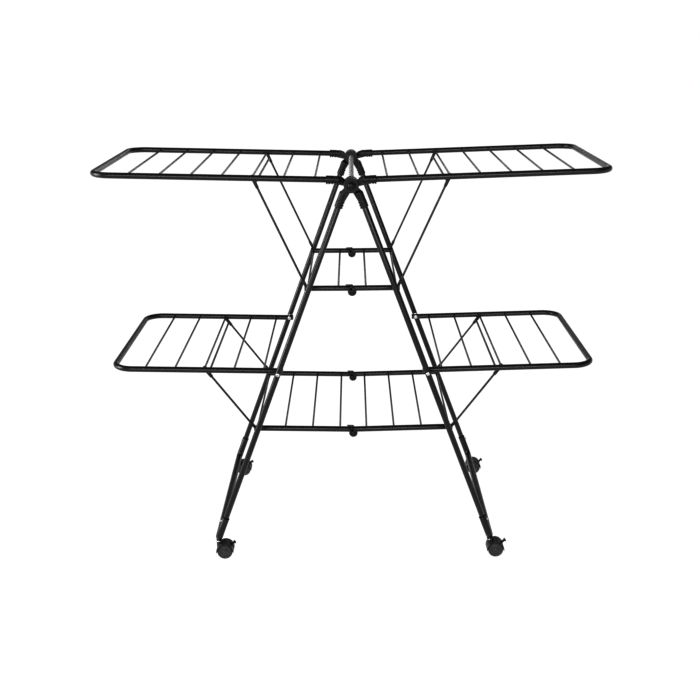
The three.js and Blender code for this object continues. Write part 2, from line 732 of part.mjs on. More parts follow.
// A braked twin-wheel caster. In its own frame the swivel axis is at the origin and the floor at zero.
function add_caster(side, end) {
  const name = side_names[side] + "_";
  const where = "_" + end_names[end];
  const caster = group(side * leg_x_at(base_height), end * caster_lane, 0, 0);
  airer.add(caster);
  const wheel_x = caster_trail;
  const wheel_z = wheel_radius;

  // The stem is fixed in the base tube's nut boss.
  const stem_top = base_boss_foot - touch_gap;
  const collar_foot = caster_boss_top + stem_collar_gap;
  const stem = join(
    bar(at(0, 0, stem_foot), at(0, 0, stem_top), stem_diameter, pin_sides),
    bar(at(0, 0, collar_foot), at(0, 0, stem_top), 2 * stem_collar_radius, pin_sides),
  );
  caster.add(piece(name + "caster_stem" + where, stem, bright_steel));

  // The hood: a web between the wheels, a curved cover over them, a stem boss, and ears for the pedal
  const cover_inner = wheel_radius + hood_gap;
  const cover_outer = cover_inner + hood_thickness;
  const cover_half = wheel_outer + hood_overhang;
  const cover = [
    ...arc(wheel_x, wheel_z, cover_outer, hood_from, hood_to, hood_steps),
    ...arc(wheel_x, wheel_z, cover_inner, hood_to, hood_from, hood_steps),
  ];
  const web_edge = Math.asin(web_foot / cover_outer);
  const web = arc(wheel_x, wheel_z, cover_inner + hood_thickness / 2, -web_edge, Math.PI + web_edge,
    hood_steps);
  const pedal_spot = (radius, angle) => [
    wheel_x + radius * Math.cos(angle),
    wheel_z + radius * Math.sin(angle),
  ];
  const [pivot_x, pivot_z] = pedal_spot(pedal_pivot_radius, pedal_angle);
  const ear_spread = pedal_ear_radius / pedal_pivot_radius;
  const ear = [
    ...arc(pivot_x, pivot_z, pedal_ear_radius, pedal_angle + Math.PI / 2,
      pedal_angle + (3 * Math.PI) / 2, pin_sides / 2),
    pedal_spot(cover_outer - hood_thickness / 2, pedal_angle - ear_spread),
    pedal_spot(cover_outer - hood_thickness / 2, pedal_angle + ear_spread),
  ];
  const window = [
    ...arc(wheel_x, wheel_z, pedal_inner_radius - touch_gap - pedal_ear_radius / 2,
      pedal_window_from, pedal_window_to, hood_steps / 2),
    pedal_spot(cover_outer + 2 * overrun, pedal_window_to),
    pedal_spot(cover_outer + 2 * overrun, pedal_window_from),
  ];
  const window_half = pedal_half_width + touch_gap;
  const boss = bar(at(0, 0, caster_boss_foot), at(0, 0, caster_boss_top), 2 * caster_boss_radius,
    pin_sides);
  let hood = cut(
    join(plate(cover, -cover_half, cover_half), plate(web, -web_half_width, web_half_width), boss),
    plate(window, -window_half, window_half),
  );
  for (const flank of both) {
    hood = join(hood, plate(ear, flank * window_half, flank * pedal_ear_outer));
  }
  hood = cut(
    hood,
    pin(wheel_x, wheel_z, -wheel_inner, wheel_inner, wheel_axle_diameter + 2 * turning_gap),
    pin(pivot_x, pivot_z, -wheel_inner, wheel_inner, pedal_pin_diameter + 2 * turning_gap),
    bar(at(0, 0, stem_foot - overrun), at(0, 0, caster_boss_top + overrun),
      stem_diameter + 2 * turning_gap, pin_sides),
  );
  caster.add(piece(name + "caster_hood" + where, hood, nylon_black));

  // The two wheels on their common axle
  const rim_radius = wheel_radius / Math.cos(Math.PI / wheel_sides); // the tread's facets lie on the floor
  const edge_radius = rim_radius - wheel_edge;
  const half_wheel = [
    [0, wheel_outer],
    [edge_radius, wheel_outer],
    [rim_radius, wheel_outer - wheel_edge],
    [rim_radius, wheel_inner + wheel_edge],
    [edge_radius, wheel_inner],
    [wheel_axle_diameter / 2, wheel_inner],
  ];
  const other_half = half_wheel.map(([radius, y]) => [radius, -y]).reverse();
  const wheels = turned([...half_wheel, ...other_half], wheel_sides, wheel_x, wheel_z);
  caster.add(piece(name + "caster_wheels" + where, wheels, wheel_rubber));

  // The brake pedal: a lever with a turned-up lip, on two short trunnions in the ears
  const lever_spot = (run, rise) => [
    wheel_x + run * Math.cos(pedal_angle) - rise * Math.sin(pedal_angle),
    wheel_z + run * Math.sin(pedal_angle) + rise * Math.cos(pedal_angle),
  ];
  const lever = [
    lever_spot(pedal_inner_radius, -pedal_half_thickness),
    lever_spot(pedal_outer_radius, -pedal_half_thickness / 2),
    lever_spot(pedal_outer_radius, pedal_lip),
    lever_spot(pedal_outer_radius - pedal_lip, pedal_lip),
    lever_spot(pedal_outer_radius - 2 * pedal_lip, pedal_half_thickness),
    lever_spot(pedal_inner_radius, pedal_half_thickness),
  ];
  const trunnion_end = pedal_ear_outer - touch_gap;
  const pedal = join(
    plate(lever, -pedal_half_width, pedal_half_width),
    pin(pivot_x, pivot_z, -trunnion_end, trunnion_end, pedal_pin_diameter),
  );
  caster.add(piece(name + "brake_pedal" + where, pedal, nylon_black));
}

for (const side of both) {
  for (const end of both) add_caster(side, end);
}

export default airer;
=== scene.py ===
import math

import bmesh
import bpy
from mathutils import Matrix, Vector


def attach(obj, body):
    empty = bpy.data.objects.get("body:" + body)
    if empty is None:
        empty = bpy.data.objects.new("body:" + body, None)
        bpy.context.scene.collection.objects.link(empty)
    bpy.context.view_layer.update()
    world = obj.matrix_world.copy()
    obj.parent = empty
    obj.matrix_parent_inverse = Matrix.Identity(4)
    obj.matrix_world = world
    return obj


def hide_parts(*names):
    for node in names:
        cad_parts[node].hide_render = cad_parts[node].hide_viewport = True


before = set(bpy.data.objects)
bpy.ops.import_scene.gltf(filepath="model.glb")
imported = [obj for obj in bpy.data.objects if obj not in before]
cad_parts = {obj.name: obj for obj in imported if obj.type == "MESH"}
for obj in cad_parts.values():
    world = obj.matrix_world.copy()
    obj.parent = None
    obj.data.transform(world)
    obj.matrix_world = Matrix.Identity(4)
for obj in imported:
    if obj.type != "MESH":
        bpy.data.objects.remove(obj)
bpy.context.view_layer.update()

# Hub axle. A plain grey steel tube ties the front and rear hubs together.
# Its ends are turned down to thin pins that run through the four hub discs at each end.
mm = 0.001
hub_height = 1088
axle_radius, axle_half = 7, 266.6
axle_pin_radius, axle_pin_half = 4, 316
flat = Matrix.Identity(4)
mirror_x = Matrix.Scale(-1, 4, (1, 0, 0))
mirror_y = Matrix.Scale(-1, 4, (0, 1, 0))
hub_place = Matrix.Translation((0, 0, hub_height * mm))
ends = {"front": mirror_y, "rear": flat}
sides = {"left": mirror_x, "right": flat}


def clear():
    """Object mode with nothing selected, ready for a new primitive."""
    if bpy.context.object and bpy.context.object.mode != "OBJECT":
        bpy.ops.object.mode_set(mode="OBJECT")
    bpy.ops.object.select_all(action="DESELECT")


def choose(shape, test, kind="FACE"):
    """Edit mode with only the faces or points that pass the test selected."""
    if shape.mode != "EDIT":
        bpy.ops.object.mode_set(mode="EDIT")
    bpy.ops.mesh.select_mode(type=kind)
    bpy.ops.mesh.select_all(action="DESELECT")
    mesh = bmesh.from_edit_mesh(shape.data)
    if kind == "FACE":
        for face in mesh.faces:
            face.select_set(bool(test(face.calc_center_median(), face.normal)))
    else:
        for point in mesh.verts:
            point.select_set(bool(test(point.co, point.normal)))
    mesh.select_flush_mode()
    bmesh.update_edit_mesh(shape.data)


def close_up(shape):
    """Doubles merged and faces turned outwards."""
    choose(shape, lambda co, normal: True, "VERT")
    bpy.ops.mesh.remove_doubles(threshold=0.002 * mm)
    bpy.ops.mesh.normals_make_consistent(inside=False)
    bpy.ops.object.mode_set(mode="OBJECT")


def soften(shape, width, steps=2):
    """Sharp edges rounded to a small radius, and the faces shaded smooth between what stays sharp."""
    clear()
    shape.select_set(True)
    bpy.context.view_layer.objects.active = shape
    if width:
        round_over = shape.modifiers.new("round_over", "BEVEL")
        round_over.width = width * mm
        round_over.segments = steps
        round_over.limit_method = "ANGLE"
        round_over.angle_limit = math.radians(32)
        bpy.ops.object.modifier_apply(modifier=round_over.name)
    bpy.ops.object.shade_smooth_by_angle(angle=math.radians(40))


def turned(name, profile, edge=0.3, steps=48):
    """A piece turned about Y: pairs of radius and distance along Y, spun full circle."""
    clear()
    bpy.ops.mesh.primitive_plane_add(size=2 * mm)
    shape = bpy.context.object
    shape.name = name
    (radius, along), *others = profile
    choose(shape, lambda co, normal: co.x < 0 or co.y < 0, "VERT")
    bpy.ops.mesh.delete(type="VERT")
    choose(shape, lambda co, normal: True, "VERT")
    bpy.ops.transform.translate(value=((radius - 1) * mm, (along - 1) * mm, 0))
    for next_radius, next_along in others:
        step = ((next_radius - radius) * mm, (next_along - along) * mm, 0)
        bpy.ops.mesh.extrude_vertices_move(TRANSFORM_OT_translate={"value": step})
        radius, along = next_radius, next_along
    choose(shape, lambda co, normal: True, "VERT")
    bpy.ops.mesh.spin(steps=steps, angle=2 * math.pi, center=(0, 0, 0), axis=(0, 1, 0))
    close_up(shape)
    soften(shape, edge)
    return shape


def placed(shape, name, where):
    """A copy with its own mesh, moved or mirrored to its place."""
    clear()
    shape.select_set(True)
    bpy.context.view_layer.objects.active = shape
    bpy.ops.object.duplicate()
    copy = bpy.context.object
    copy.name = name
    copy.data.name = name
    copy.data.transform(where)
    if where.determinant() < 0:
        copy.data.flip_normals()
    return copy


def joined(name, shapes):
    """Several shapes as one piece, with their materials kept."""
    clear()
    for shape in shapes:
        shape.select_set(True)
    bpy.context.view_layer.objects.active = shapes[0]
    if len(shapes) > 1:
        bpy.ops.object.join()
    shapes[0].name = name
    shapes[0].data.name = name
    return shapes[0]


def dressed(shape, finish):
    """The shape with one finish all over."""
    shape.data.materials.clear()
    shape.data.materials.append(finish)
    return shape


# Fine surface texture, shared by every finish: small grain for the bump, slow clouds for the gloss.
grain = bpy.data.node_groups.new("fine_grain", "ShaderNodeTree")
grain.interface.new_socket("Vector", in_out="INPUT", socket_type="NodeSocketVector")
for label in ("Grain", "Clouds", "Low", "High"):
    grain.interface.new_socket(label, in_out="INPUT", socket_type="NodeSocketFloat")
for label in ("Height", "Gloss", "Cloud"):
    grain.interface.new_socket(label, in_out="OUTPUT", socket_type="NodeSocketFloat")
grain_in, grain_out = grain.nodes.new("NodeGroupInput"), grain.nodes.new("NodeGroupOutput")
speckle = grain.nodes.new("ShaderNodeTexNoise")
speckle.inputs["Detail"].default_value = 2
clouds = grain.nodes.new("ShaderNodeTexNoise")
clouds.inputs["Detail"].default_value = 4
clouds.inputs["Roughness"].default_value = 0.6
spread = grain.nodes.new("ShaderNodeMapRange")
spread.inputs["From Min"].default_value = 0.3
spread.inputs["From Max"].default_value = 0.7
for source, target in (
    (grain_in.outputs["Vector"], speckle.inputs["Vector"]),
    (grain_in.outputs["Vector"], clouds.inputs["Vector"]),
    (grain_in.outputs["Grain"], speckle.inputs["Scale"]),
    (grain_in.outputs["Clouds"], clouds.inputs["Scale"]),
    (clouds.outputs["Fac"], spread.inputs["Value"]),
    (grain_in.outputs["Low"], spread.inputs["To Min"]),
    (grain_in.outputs["High"], spread.inputs["To Max"]),
    (speckle.outputs["Fac"], grain_out.inputs["Height"]),
    (spread.outputs["Result"], grain_out.inputs["Gloss"]),
    (clouds.outputs["Fac"], grain_out.inputs["Cloud"]),
):
    grain.links.new(source, target)


def new_finish(name, dark, light, rough, size, patches, depth, metallic=0, stretch=(1, 1, 1), level=0.5):
    """A finish: two close colours in slow clouds, roughness between two values, and a fine grained bump."""
    made = bpy.data.materials.new(name)
    made.use_nodes = True
    made.diffuse_color = (*light, 1)
    nodes, links = made.node_tree.nodes, made.node_tree.links
    surface = nodes["Principled BSDF"]
    surface.inputs["Metallic"].default_value = metallic
    surface.inputs["Specular IOR Level"].default_value = level
    position = nodes.new("ShaderNodeTexCoord")
    mapping = nodes.new("ShaderNodeMapping")
    mapping.inputs["Scale"].default_value = stretch
    effect = nodes.new("ShaderNodeGroup")
    effect.node_tree = grain
    effect.inputs["Grain"].default_value = size
    effect.inputs["Clouds"].default_value = patches
    effect.inputs["Low"].default_value, effect.inputs["High"].default_value = rough
    colours = nodes.new("ShaderNodeValToRGB")
    colours.color_ramp.elements[0].position = 0.35
    colours.color_ramp.elements[0].color = (*dark, 1)
    colours.color_ramp.elements[1].position = 0.65
    colours.color_ramp.elements[1].color = (*light, 1)
    bump = nodes.new("ShaderNodeBump")
    bump.inputs["Strength"].default_value = 0.35
    bump.inputs["Distance"].default_value = depth * mm
    links.new(position.outputs["Object"], mapping.inputs["Vector"])
    links.new(mapping.outputs["Vector"], effect.inputs["Vector"])
    links.new(effect.outputs["Cloud"], colours.inputs["Fac"])
    links.new(colours.outputs["Color"], surface.inputs["Base Color"])
    links.new(effect.outputs["Gloss"], surface.inputs["Roughness"])
    links.new(effect.outputs["Height"], bump.inputs["Height"])
    links.new(bump.outputs["Normal"], surface.inputs["Normal"])
    return made


grey_steel = new_finish(
    "grey_steel", (0.46, 0.45, 0.44), (0.56, 0.545, 0.53), rough=(0.6, 0.7), size=900, patches=30, depth=0.03,
    metallic=0.1, stretch=(1, 0.04, 1),
)
axle = turned(
    "hub_axle_tube",
    [
        (0, -axle_pin_half),
        (axle_pin_radius, -axle_pin_half),
        (axle_pin_radius, -axle_half),
        (axle_radius, -axle_half),
        (axle_radius, axle_half),
        (axle_pin_radius, axle_half),
        (axle_pin_radius, axle_pin_half),
        (0, axle_pin_half),
    ],
)
axle.data.transform(hub_place)
dressed(axle, grey_steel)
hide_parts("hub_axle")
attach(axle, "left_leg_frame")

# Hub caps. A moulded black button closes the axle at each end:
# a flange against the outer disc, a small step, and a smooth dome.
cap_face, cap_flange, cap_flange_thickness, cap_dome, cap_rise = 311.45, 13, 2.6, 9.6, 7
cap_step = cap_face + cap_flange_thickness
nylon_black = new_finish(
    "nylon_black", (0.006, 0.006, 0.0063), (0.01, 0.01, 0.0104), rough=(0.38, 0.5), size=1800, patches=60,
    depth=0.05, level=0.35,
)
dome = [
    (cap_dome * math.cos(step * math.pi / 14), cap_step + cap_rise * math.sin(step * math.pi / 14))
    for step in range(7)
]
cap = turned(
    "cap_pattern",
    [
        (0, cap_face),
        (cap_flange, cap_face),
        (cap_flange, cap_step - 0.6),
        (cap_flange - 1.2, cap_step),
        (cap_dome + 1.1, cap_step),
        (cap_dome + 0.6, cap_step - 0.7),
        (cap_dome, cap_step - 0.7),
        *dome,
        (0, cap_step + cap_rise),
    ],
    edge=0.25,
)
dressed(cap, nylon_black)
for end, turn in ends.items():
    button = placed(cap, "hub_cap_" + end + "_button", turn @ hub_place)
    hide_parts("hub_cap_" + end)
    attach(button, "left_leg_frame")
bpy.data.objects.remove(cap)

# Hub pieces. Each leg and each upper wing rail ends in a moulded black socket whose arm narrows to a flat
# disc on the axle; the discs lap like scissors. Each mouth has a thicker collar with three small ribs below.
disc_radius, disc_thickness, lap_gap = 19.8, 9, 0.15
neck_start, neck_radius, socket_radius, mouth_start, mouth_end, mouth_radius = 20.6, 5.8, 10.2, 48, 67, 10.7
web_end, web_depth, web_inset, web_waist = 49, 19.8, 0.7, 9
arm_half, rib_half_width, rib_half_length, rib_height = 5, 5, 1.4, 3.2
rim_width, ring_inner, ring_outer, relief = 2.6, 13.4, 15, 0.5
stop_count, stop_circle, stop_radius, stop_height = 12, 15.9, 1.1, 0.8
leg_lane, leg_offset, leg_angle = 302, 12.8, math.radians(20.4)
leg_arm = {"start": 7, "root": 12.6, "shoulder": 26.5}
wing_lane, wing_rise, wing_tilt = 277.4, 10, math.radians(1.6)
wing_arm = {"start": 11, "root": 9, "shoulder": 33}
spacer_radius, spacer_from, spacer_to = 12, 286.85, 293


def rod_along(name, start, finish_at, radius, count=32):
    """A round bar between two places in millimetres, with flat ends."""
    start, finish_at = Vector(start) * mm, Vector(finish_at) * mm
    run = finish_at - start
    clear()
    bpy.ops.mesh.primitive_cylinder_add(
        vertices=count, radius=radius * mm, depth=run.length, location=(start + finish_at) / 2,
        rotation=run.to_track_quat("Z", "Y").to_euler(),
    )
    bpy.ops.object.transform_apply(location=True, rotation=True, scale=True)
    shape = bpy.context.object
    shape.name = name
    return shape


def block(name, low, high):
    """A box between two corners in millimetres."""
    low, high = Vector(low) * mm, Vector(high) * mm
    clear()
    bpy.ops.mesh.primitive_cube_add(size=1, location=(low + high) / 2)
    shape = bpy.context.object
    shape.name = name
    shape.scale = high - low
    bpy.ops.object.transform_apply(location=True, rotation=True, scale=True)
    return shape


def moved(shape, test, step):
    """The chosen points of a shape moved by a step in millimetres."""
    choose(shape, test, "VERT")
    bpy.ops.transform.translate(value=Vector(step) * mm)
    bpy.ops.object.mode_set(mode="OBJECT")
    return shape


def fused(name, shapes, grid, rounds):
    """Overlapping shapes moulded into one skin with soft inner corners."""
    skin = joined(name, shapes)
    melt = skin.modifiers.new("melt", "REMESH")
    melt.mode = "VOXEL"
    melt.voxel_size = grid * mm
    bpy.ops.object.modifier_apply(modifier=melt.name)
    ease = skin.modifiers.new("ease", "SMOOTH")
    ease.factor = 0.5
    ease.iterations = rounds
    bpy.ops.object.modifier_apply(modifier=ease.name)
    thin = skin.modifiers.new("thin", "DECIMATE")
    thin.ratio = 0.35
    bpy.ops.object.modifier_apply(modifier=thin.name)
    bpy.ops.object.shade_smooth()
    return skin


outwards = Matrix.Rotation(math.radians(-90), 4, "Z")


def hub_shape(name, lane, outer, offset, shape, spacer):
    """A hub piece in its own frame: the tube runs along X at the offset above the axle, ends towards +Y."""
    inner_face = lane + lap_gap if outer else lane - lap_gap - disc_thickness
    outer_face = inner_face + disc_thickness
    # The arm widens from the disc to the socket's outer side, and a web fills its inner side.
    shoulder, root = shape["shoulder"], shape["root"]
    arm = block(name + "_arm", (shape["start"], inner_face, -arm_half), (shoulder + 2, outer_face, root))
    arm_rise = offset + socket_radius - 0.5 - root
    moved(arm, lambda co, normal: co.x > shoulder * mm and co.z > 0, (0, 0, arm_rise))
    moved(arm, lambda co, normal: co.x > shoulder * mm and co.z < 0, (0, 0, offset + arm_half))
    web = block(
        name + "_web",
        (0, inner_face + web_inset, offset - web_depth),
        (web_end, outer_face - web_inset, offset),
    )
    waist, low = web_waist * mm, (offset - web_waist) * mm
    moved(web, lambda co, normal: co.x > waist and co.z < low, (0, 0, web_depth - socket_radius))
    moved(web, lambda co, normal: co.x > waist and co.z > low, (0, 0, 3 - socket_radius))
    socket = turned(
        name + "_socket",
        [
            (0, neck_start), (neck_radius, neck_start),
            (socket_radius - 1.2, shoulder - 2.5), (socket_radius, shoulder),
            (socket_radius, mouth_start - 0.3), (mouth_radius, mouth_start + 0.3),
            (mouth_radius, mouth_end), (0, mouth_end),
        ],
        edge=0, steps=40,
    )
    socket.data.transform(Matrix.Translation((0, lane * mm, offset * mm)) @ outwards)
    disc = rod_along(name + "_disc", (0, inner_face, 0), (0, outer_face, 0), disc_radius, 64)
    parts = [disc, arm, web, socket]
    rib_top = offset - mouth_radius + 2
    for place in (mouth_start + 1.8, mouth_end - 9, mouth_end - 2.2):
        parts.append(block(
            name + "_rib",
            (place - rib_half_length, lane - rib_half_width, rib_top - rib_height),
            (place + rib_half_length, lane + rib_half_width, rib_top),
        ))
    if spacer:
        parts.append(rod_along(name + "_spacer", (0, spacer_from, 0), (0, spacer_to, 0), spacer_radius, 40))
    body = fused(name, parts, 0.55, 3)
    # A raised rim and a ring round the axle give the disc's face its relief.
    face = outer_face - 0.3
    rim = turned(
        name + "_rim",
        [(disc_radius - rim_width, face), (disc_radius - rim_width, face + relief),
         (disc_radius - 0.7, face + relief), (disc_radius - 0.3, face), (disc_radius - rim_width, face)],
        edge=0.12, steps=64,
    )
    ring = turned(
        name + "_ring",
        [(ring_inner, face), (ring_inner, face + relief), (ring_outer, face + relief), (ring_outer, face),
         (ring_inner, face)],
        edge=0.12, steps=64,
    )
    # Small stops stand in a circle between the ring and the rim.
    stops = []
    for index in range(stop_count):
        turn = Matrix.Rotation(math.radians(15 + 30 * index), 4, "Y")
        tip = (stop_circle, face + stop_height, 0)
        stop = rod_along(name + "_stop", (stop_circle, face, 0), tip, stop_radius, 12)
        soften(stop, 0.25)
        stop.data.transform(turn)
        stops.append(stop)
    return dressed(joined(name, [body, rim, ring, *stops]), nylon_black)


leg_place = hub_place @ Matrix.Rotation(-leg_angle, 4, "Y")
leg_hub_place = leg_place @ Matrix.Rotation(math.radians(90), 4, "Y")
wing_place = hub_place @ Matrix.Rotation(-wing_tilt, 4, "Y")
for node, body, lane, outer, offset, shape, spacer, where in (
    ("left_leg_hub", "left_leg_frame", leg_lane, True, leg_offset, leg_arm, False, mirror_x @ leg_hub_place),
    ("right_leg_hub", "right_leg_frame", leg_lane, False, leg_offset, leg_arm, True, leg_hub_place),
    ("left_wing_hub", "left_upper_wing", wing_lane, False, wing_rise, wing_arm, False, mirror_x @ wing_place),
    ("right_wing_hub", "right_upper_wing", wing_lane, True, wing_rise, wing_arm, False, wing_place),
):
    pattern = hub_shape(node + "_pattern", lane, outer, offset, shape, spacer)
    for end, turn in ends.items():
        hub = placed(pattern, node + "_" + end + "_moulding", turn @ where)
        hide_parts(node + "_" + end)
        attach(hub, body)
    bpy.data.objects.remove(pattern)

# Legs. Four straight steel tubes with a satin black powder coat, one in each leg hub's socket,
# cut square and pushed into the sleeves of the base tube.
tube_radius, socket_depth, foot_gap = 8, 8, 14
base_height, sleeve_length = 61.5, 70.6
leg_top = hub_height + leg_offset * math.sin(leg_angle)


def down_leg(height):
    """How far down a leg a height above the floor is, from the hub axle's level."""
    return (leg_top - height) / math.cos(leg_angle)


def leg_across(height):
    """How far a leg's axis is from the middle, along X, at a height above the floor."""
    return leg_offset * math.cos(leg_angle) + (leg_top - height) * math.tan(leg_angle)


def drawn(name, corners, bend, radius, count=32, steps=12):
    """A round bar pushed along straight runs and spun round each bend, sizes in millimetres."""
    corners = [Vector(corner) * mm for corner in corners]
    first = (corners[1] - corners[0]).normalized()
    clear()
    bpy.ops.mesh.primitive_circle_add(
        vertices=count, radius=radius * mm, location=corners[0],
        rotation=first.to_track_quat("Z", "Y").to_euler(),
    )
    bpy.ops.object.transform_apply(location=True, rotation=True, scale=True)
    shape = bpy.context.object
    shape.name = name
    bpy.ops.object.mode_set(mode="EDIT")
    bpy.ops.mesh.select_all(action="SELECT")
    here = corners[0]
    for before, corner, after in zip(corners, corners[1:], corners[2:]):
        into, out = (corner - before).normalized(), (after - corner).normalized()
        turn = into.angle(out)
        begin = corner - into * bend * mm * math.tan(turn / 2)
        centre = begin + (out - into * into.dot(out)).normalized() * bend * mm
        bpy.ops.mesh.extrude_region_move(TRANSFORM_OT_translate={"value": begin - here})
        bpy.ops.mesh.spin(steps=steps, angle=turn, center=centre, axis=out.cross(into).normalized())
        here = corner + out * bend * mm * math.tan(turn / 2)
    bpy.ops.mesh.extrude_region_move(TRANSFORM_OT_translate={"value": corners[-1] - here})
    bpy.ops.mesh.select_all(action="DESELECT")
    bpy.ops.mesh.select_mode(type="EDGE")
    bpy.ops.mesh.select_non_manifold()
    bpy.ops.mesh.edge_face_add()
    bpy.ops.mesh.inset(thickness=0.12 * radius * mm, depth=0)
    close_up(shape)
    return shape


powder_black = new_finish(
    "powder_black", (0.006, 0.006, 0.0062), (0.0095, 0.0093, 0.0092), rough=(0.28, 0.37), size=1100,
    patches=18, depth=0.05, level=0.45,
)
leg = drawn(
    "leg_pattern",
    [
        (leg_offset, leg_lane, -mouth_end + socket_depth),
        (leg_offset, leg_lane, -down_leg(base_height) + sleeve_length - foot_gap),
    ],
    0, tube_radius,
)
soften(leg, 0.3)
dressed(leg, powder_black)
for side, flip in sides.items():
    for end, turn in ends.items():
        tube = placed(leg, side + "_leg_" + end + "_tube", flip @ turn @ leg_place)
        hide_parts(side + "_leg_" + end)
        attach(tube, side + "_leg_frame")
bpy.data.objects.remove(leg)

# Base tubes. A thicker tube is bent up at both ends and sleeved over the feet of the front and rear legs.
# Each sleeve ends in a rolled lip, a screw holds it to the leg, and a nut boss is welded over each caster.
base_radius, base_bend, caster_lane = 10, 18, 292
boss_radius, boss_foot = 8, 51
lip_drop, screw_drop, screw_sink = 1.6, 13, 0.2
crossbar = down_leg(base_height)
sleeve_top = sleeve_length - crossbar
bright_steel = new_finish(
    "bright_steel", (0.52, 0.52, 0.51), (0.66, 0.66, 0.65), rough=(0.22, 0.36), size=1200, patches=80,
    depth=0.02, metallic=1,
)
base = drawn(
    "base_pattern",
    [
        (leg_offset, -leg_lane, sleeve_top),
        (leg_offset, -leg_lane, -crossbar),
        (leg_offset, leg_lane, -crossbar),
        (leg_offset, leg_lane, sleeve_top),
    ],
    base_bend, base_radius, count=36,
)
soften(base, 0.5)
parts = [base]
upright = Matrix.Rotation(math.radians(90), 4, "X")
for end, turn in ends.items():
    lip = turned(
        "lip",
        [(7.9, -1.6), (10.2, -1.6), (10.5, -1), (10.5, 1), (10, 1.6), (7.9, 1.6), (7.9, -1.6)],
        edge=0.3,
    )
    spot = Matrix.Translation((leg_offset * mm, leg_lane * mm, (sleeve_top - lip_drop) * mm))
    lip.data.transform(turn @ spot @ upright)
    if end == "front":
        lip.data.flip_normals()
    parts.append(lip)
    down = base_height - boss_foot
    foot = (leg_offset - down * math.sin(leg_angle), caster_lane, -crossbar - down * math.cos(leg_angle))
    boss = rod_along("boss", foot, (leg_offset, caster_lane, -crossbar), boss_radius, 40)
    soften(boss, 0.8)
    boss.data.transform(turn)
    if end == "front":
        boss.data.flip_normals()
    parts.append(boss)
base = dressed(joined("base_pattern", parts), powder_black)
screw = turned(
    "screw_pattern",
    [(0, -1), (3.7, -1), (3.7, 0.5), (3, 0.8), (3, 2.1), (2.5, 2.8), (1.7, 3.1), (1.2, 3.1), (1.2, 2.3),
     (0, 2.3)],
    edge=0.15, steps=32,
)
dressed(screw, grey_steel)
for side, flip in sides.items():
    bar = placed(base, side + "_base_tube", flip @ leg_place)
    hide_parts(side + "_base_bar")
    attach(bar, side + "_leg_frame")
    for end, turn in ends.items():
        spot = Matrix.Translation(
            ((leg_offset + base_radius - screw_sink) * mm, leg_lane * mm, (sleeve_top - screw_drop) * mm)
        )
        head = placed(screw, side + "_sleeve_screw_" + end, flip @ turn @ leg_place @ spot @ outwards)
        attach(head, side + "_leg_frame")
bpy.data.objects.remove(base)
bpy.data.objects.remove(screw)

# Shelf rods. Thin straight steel rods with the same black coat run from the front legs to the rear legs
# and carry the outer ends of both middle shelves and the shoes of the struts. Their coat, like the
# wires', is painted lighter than the legs': a painted sheen for the grey reflections on thin wires.
rod_radius, rod_half = 2.8, 293.7
shelf_heights = {"upper": 796, "lower": 383.5}
# Wire coat: the legs' black coat with a lighter base colour, a painted sheen for the grey grazing reflections
# thin wires catch.
wire_black_painted_sheen = new_finish(
    "wire_black_painted_sheen", (0.013, 0.0128, 0.0128), (0.019, 0.0186, 0.0182), rough=(0.34, 0.44), size=1400, patches=40,
    depth=0.03, level=0.4,
)
for level, height in shelf_heights.items():
    drop = down_leg(height)
    rod = drawn(
        "rod_pattern",
        [(leg_offset, -rod_half, -drop), (leg_offset, rod_half, -drop)],
        0, rod_radius, count=20,
    )
    soften(rod, 0.4)
    dressed(rod, wire_black_painted_sheen)
    for side, flip in sides.items():
        body = "left_leg_frame" if side == "left" else "right_" + level + "_shelf"
        bar = placed(rod, side + "_" + level + "_shelf_rod", flip @ leg_place)
        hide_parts(side + "_" + level + "_rod")
        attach(bar, body)
    bpy.data.objects.remove(rod)

# Lower wing rivets. A bright steel rivet goes through each leg: a low domed head outside, a collar between
# the leg and the wing's rail, and a flat head inside the rail.
rivet_height = 566.5
rivet = turned(
    "rivet_pattern",
    [
        (0, 262.5), (5.4, 262.5), (5.4, 264.7), (3, 264.7), (3, 281.3), (7.5, 281.3), (7.5, 293.7),
        (3, 293.7), (3, 310.3), (5.4, 310.3), (5.3, 311), (4.4, 311.9), (2.8, 312.5), (1.4, 312.6),
        (1.1, 312.1), (0, 312.1),
    ],
    edge=0.15, steps=40,
)
dressed(rivet, bright_steel)
for side, flip in sides.items():
    for end, turn in ends.items():
        spot = Matrix.Translation((leg_offset * mm, 0, -down_leg(rivet_height) * mm))
        where = flip @ turn @ leg_place @ spot
        head = placed(rivet, side + "_wing_rivet_" + end + "_head", where)
        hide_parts(side + "_wing_rivet_" + end)
        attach(head, side + "_leg_frame")
bpy.data.objects.remove(rivet)

# Upper wings. One steel tube is bent to a long U whose ends sit in the wing hubs' sockets, and seven thin
# wires are welded between its rails, each with a small fillet of weld under the coat.
wing_reach, wing_corner, rail_bite = 691, 52, 0.9
wire_radius, weld_radius, weld_length = 2.75, 4, 2.6
weld_middle, weld_swell = 0.45, 1.18
wire_step = 83.2
upper_wires = [97 + wire_step * index for index in range(7)]


def welded_wire(name, x, z, half, radius=wire_radius):
    """A wire along Y between two rails, flared where it is welded."""
    shape = rod_along(name, (x, -half, z), (x, half, z), radius, 20)
    for end in (-1, 1):
        choose(shape, lambda co, normal: normal.y * end > 0.9 and abs(co.y) > (half - 5) * mm)
        bpy.ops.transform.translate(value=(0, -end * weld_length * mm, 0))
        # Two steps outwards, each a little wider, make the flare.
        for part, reach, swell in (
            (1 - weld_middle, weld_length * weld_middle, weld_swell),
            (weld_middle, 0, weld_radius / radius / weld_swell),
        ):
            step = weld_length * part * end * mm
            bpy.ops.mesh.extrude_region_move(TRANSFORM_OT_translate={"value": (0, step, 0)})
            centre = (x * mm, end * (half - reach) * mm, z * mm)
            bpy.ops.transform.resize(value=(swell, 1, swell), center_override=centre)
    close_up(shape)
    soften(shape, 0)
    return shape


